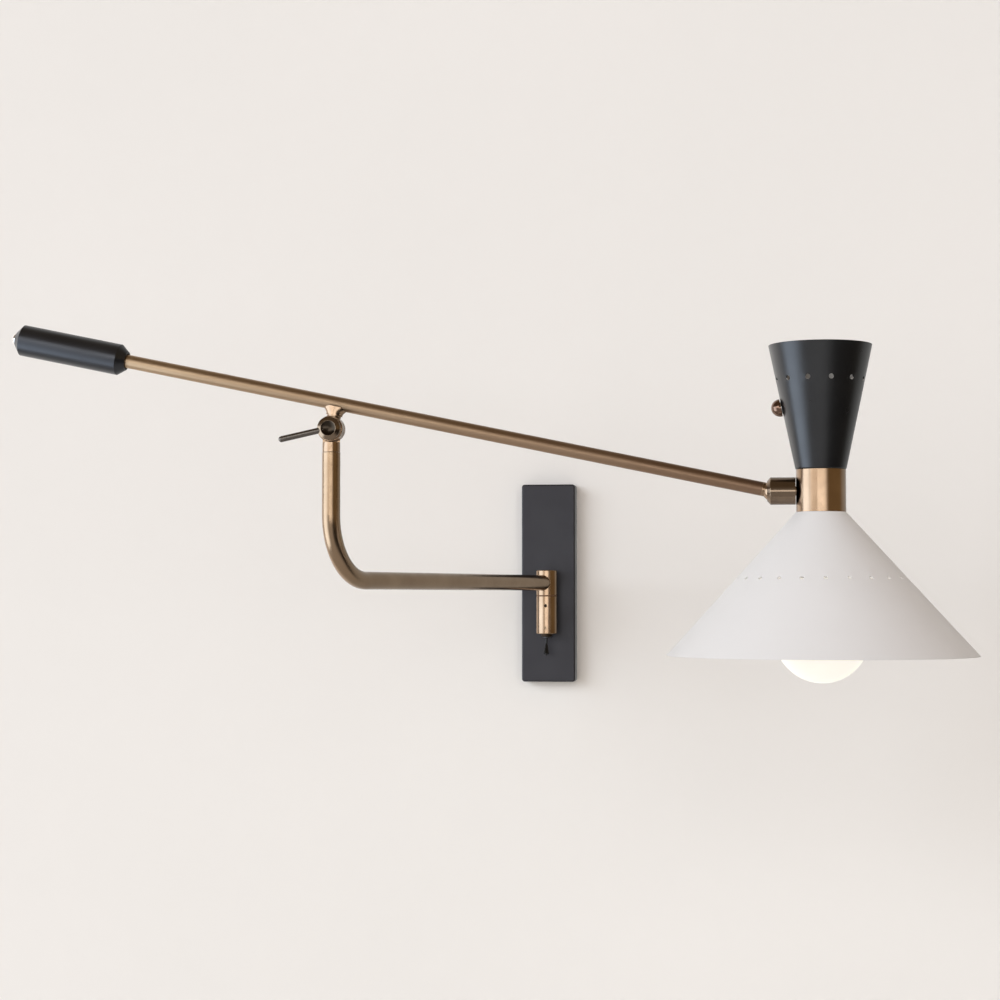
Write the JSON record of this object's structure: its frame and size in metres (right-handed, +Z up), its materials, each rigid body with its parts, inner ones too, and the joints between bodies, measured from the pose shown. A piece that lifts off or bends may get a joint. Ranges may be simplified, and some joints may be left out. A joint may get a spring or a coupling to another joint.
{
  "type": "adjustable wall lamp",
  "caption": "Swing-arm wall lamp with a counterweighted long arm, a conical white shade and a black cup above it.",
  "frame": {"origin": "centre of the mounting strap's back face, on the wall, level with the lower arm", "axes": "+Z up, +Y into the wall, +X to the right for someone who faces the wall"},
  "size_m": [0.8458, 0.5509, 0.3312],
  "materials": {
    "black_paint": "satin",
    "black_shade": "satin",
    "white_shade": "satin",
    "satin_brass": "satin",
    "dark_bronze": "satin",
    "zinc_steel": "satin",
    "bright_dome": "polished",
    "bulb_metal": "satin",
    "opal_glass": "gloss",
    "black_plastic": "matte",
    "pale_plastic": "matte",
    "fibre": "matte"
  },
  "bodies": {
    "wall_base": {"wall_plate": "black_paint", "mounting_strap": "zinc_steel", "plate_screws": "zinc_steel", "terminal_block": "pale_plastic", "earth_screw": "zinc_steel", "pivot_barrel": "satin_brass", "pivot_set_screw": "dark_bronze", "plug_screw": "satin_brass", "barrel_stud": "zinc_steel", "saddle_spacer": "satin_brass", "stud_washer": "zinc_steel", "stud_nut": "zinc_steel", "switch_plug": "black_plastic", "toggle_switch": "black_plastic", "toggle_nut": "dark_bronze"},
    "toggle": {"toggle_lever": "black_plastic"},
    "swing_arm": {"swivel_barrel": "satin_brass", "barrel_cap": "satin_brass", "pivot_tube": "satin_brass", "friction_washer": "fibre", "thrust_washer": "zinc_steel", "pivot_nut": "zinc_steel", "lower_arm": "satin_brass", "post_bush": "fibre"},
    "post_swivel": {"knuckle_base": "satin_brass", "spigot_clip": "zinc_steel", "clamp_nut": "zinc_steel"},
    "long_arm": {"arm_tee": "satin_brass", "knuckle_washer": "fibre", "long_arm_tube": "satin_brass", "counterweight": "black_paint", "end_finial": "bright_dome", "arm_ball": "satin_brass"},
    "clamp_lever": {"clamp_screw": "dark_bronze", "lever_rod": "dark_bronze"},
    "head_swivel": {"ball_housing": "dark_bronze", "nose_ring": "dark_bronze", "ball_seat": "fibre"},
    "head": {"swivel_stud": "dark_bronze", "swivel_nut": "zinc_steel", "collar": "satin_brass", "cup": "black_shade", "cone_shade": "white_shade", "centre_tube": "satin_brass", "cup_washer": "zinc_steel", "cup_nut": "zinc_steel", "cone_nut": "zinc_steel", "lampholder_cap": "black_plastic", "lampholder_body": "black_plastic", "lampholder_sleeve": "satin_brass", "lampholder_contact": "satin_brass", "bulb_cap": "bulb_metal", "bulb_globe": "opal_glass", "rotary_switch": "black_plastic", "rotary_nut": "zinc_steel"},
    "knob": {"switch_knob": "dark_bronze", "knob_shaft": "zinc_steel"}
  },
  "joints": [
    {"name": "arm_swing", "type": "hinge", "parent": "wall_base", "child": "swing_arm", "pos_m": [0, -0.034, 0], "axis": [0, 0, 1], "range_deg": [-40, 30]},
    {"name": "arm_yaw", "type": "hinge", "parent": "swing_arm", "child": "post_swivel", "pos_m": [-0.14428, -0.41991, 0], "axis": [0, 0, 1], "range_deg": [-140, 15]},
    {"name": "arm_tilt", "type": "hinge", "parent": "post_swivel", "child": "long_arm", "pos_m": [-0.14428, -0.41991, 0.132], "axis": [0, 1, 0], "range_deg": [-27, 25]},
    {"name": "clamp_turn", "type": "hinge", "parent": "post_swivel", "child": "clamp_lever", "pos_m": [-0.14428, -0.41991, 0.132], "axis": [0, 1, 0], "range_deg": [-45, 45]},
    {"name": "head_pitch", "type": "hinge", "parent": "long_arm", "child": "head_swivel", "pos_m": [0.2387, -0.41991, 0.07514], "axis": [0, 1, 0], "range_deg": [-6, 30]},
    {"name": "head_roll", "type": "hinge", "parent": "head_swivel", "child": "head", "pos_m": [0.2387, -0.41991, 0.07514], "axis": [1, 0, 0], "range_deg": [-90, 90]},
    {"name": "knob_turn", "type": "hinge", "parent": "head", "child": "knob", "pos_m": [0.24641, -0.41991, 0.14614], "axis": [-0.9784, 0, -0.2066], "continuous": true},
    {"name": "toggle_flip", "type": "hinge", "parent": "wall_base", "child": "toggle", "pos_m": [0, -0.034, -0.054], "axis": [1, 0, 0], "range_deg": [0, 22]}
  ]
}
